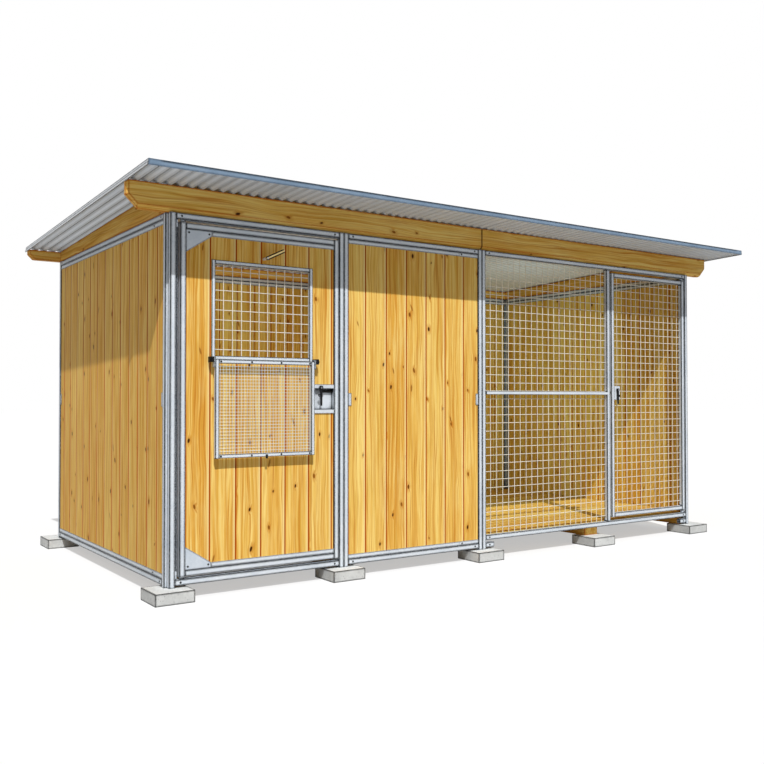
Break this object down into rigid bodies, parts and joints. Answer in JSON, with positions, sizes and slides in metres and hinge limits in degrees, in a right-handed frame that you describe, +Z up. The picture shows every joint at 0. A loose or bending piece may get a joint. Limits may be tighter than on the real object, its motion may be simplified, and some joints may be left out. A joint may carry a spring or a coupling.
{
  "type": "outdoor dog kennel run",
  "caption": "Free-standing dog kennel run with a boarded sleeping room, a weld mesh run, hinged doors, a window flap and a sloping corrugated roof on beams.",
  "frame": {"origin": "on the ground under the middle of the whole object's outline seen from above", "axes": "+X along the front from the boarded room to the mesh run, +Y to the rear, +Z up"},
  "size_m": [4.451, 2.3917, 2.0621],
  "materials": {
    "pine": "oiled pine boards, knotty",
    "galvanised": "galvanised, light blue-grey",
    "roof_sheet": "galvanised corrugated sheet",
    "front_trim": "blue-grey coated sheet",
    "verge_trim": "pale coated sheet",
    "concrete": "cast concrete, matt",
    "black": "black coated fittings",
    "yellow_zinc": "yellow passivated steel"
  },
  "bodies": {
    "kennel": {"left_wall_boards": "pine", "right_wall_boards": "pine", "rear_wall_boards": "pine", "partition_boards": "pine", "panel_bay_boards": "pine", "floor_joists": "pine", "floor_deck": "pine", "front_beam": "pine", "rear_beam": "pine", "tapered_timbers": "pine", "left_wall_frame": "galvanised", "left_wall_channels": "galvanised", "right_wall_frame": "galvanised", "right_wall_channels": "galvanised", "rear_wall_frame": "galvanised", "rear_wall_channels": "galvanised", "partition_frame": "galvanised", "partition_channels": "galvanised", "dog_doorway_frame": "galvanised", "service_bay_frame": "galvanised", "hinge_filler_strip": "galvanised", "door_stop_strips": "galvanised", "panel_bay_frame": "galvanised", "panel_bay_channels": "galvanised", "mesh_bay_frame": "galvanised", "mesh_bay_mesh": "galvanised", "foot_brackets": "galvanised", "board_clips": "galvanised", "door_bushes": "galvanised", "roof_sheets": "roof_sheet", "front_flashing": "front_trim", "verge_flashings": "verge_trim", "foundation_pads": "concrete", "frame_screws": "black", "bolt_keepers": "black"},
    "service_door": {"service_door_frame": "galvanised", "service_door_channels": "galvanised", "service_door_boards": "pine", "service_door_gussets": "galvanised", "service_door_pivots": "galvanised", "window_frame": "galvanised", "window_mesh": "galvanised", "flap_hinge_brackets": "black", "turn_button_post": "yellow_zinc", "service_lock_box": "galvanised", "door_screws": "black"},
    "window_flap": {"flap_frame": "galvanised", "flap_mesh": "galvanised", "flap_ears": "galvanised", "flap_keeper": "black", "flap_screws": "black"},
    "turn_button": {"turn_button": "yellow_zinc"},
    "service_lever": {"service_lever": "black"},
    "service_bolt": {"service_bolt": "yellow_zinc"},
    "run_door": {"run_door_frame": "galvanised", "run_door_mesh": "galvanised", "run_door_pivots": "galvanised", "run_lock_case": "galvanised"},
    "run_lever": {"run_lever": "black"},
    "run_bolt": {"run_bolt": "yellow_zinc"}
  },
  "joints": [
    {"name": "service_door_hinge", "type": "hinge", "parent": "kennel", "child": "service_door", "pos_m": [-1.933, -0.87425, 0.112], "axis": [0, 0, -1], "range_deg": [0, 105]},
    {"name": "window_flap_hinge", "type": "hinge", "parent": "service_door", "child": "window_flap", "pos_m": [-1.4905, -0.91325, 1.181], "axis": [-1, 0, 0], "range_deg": [0, 175]},
    {"name": "turn_button_pivot", "type": "hinge", "parent": "service_door", "child": "turn_button", "pos_m": [-1.4905, -0.92825, 1.711], "axis": [0, 1, 0], "range_deg": [0, 116]},
    {"name": "service_lever_turn", "type": "hinge", "parent": "service_door", "child": "service_lever", "pos_m": [-1.1485, -0.89525, 1.044], "axis": [0, -1, 0], "range_deg": [0, 90]},
    {"name": "service_bolt_slide", "type": "slide", "parent": "service_door", "child": "service_bolt", "axis": [1, 0, 0], "range_m": [0, 0.0185]},
    {"name": "run_door_hinge", "type": "hinge", "parent": "kennel", "child": "run_door", "pos_m": [1.945, -0.87425, 0.168], "axis": [0, 0, 1], "range_deg": [0, 105]},
    {"name": "run_lever_turn", "type": "hinge", "parent": "run_door", "child": "run_lever", "pos_m": [1.23, -0.89525, 1.044], "axis": [0, 1, 0], "range_deg": [0, 90]},
    {"name": "run_bolt_slide", "type": "slide", "parent": "run_door", "child": "run_bolt", "axis": [-1, 0, 0], "range_m": [0, 0.0285]}
  ],
  "couplings": [
    {"joint": "service_bolt_slide", "follows": "service_lever_turn", "m_per_rad": 0.011459},
    {"joint": "run_bolt_slide", "follows": "run_lever_turn", "m_per_rad": 0.017825}
  ]
}
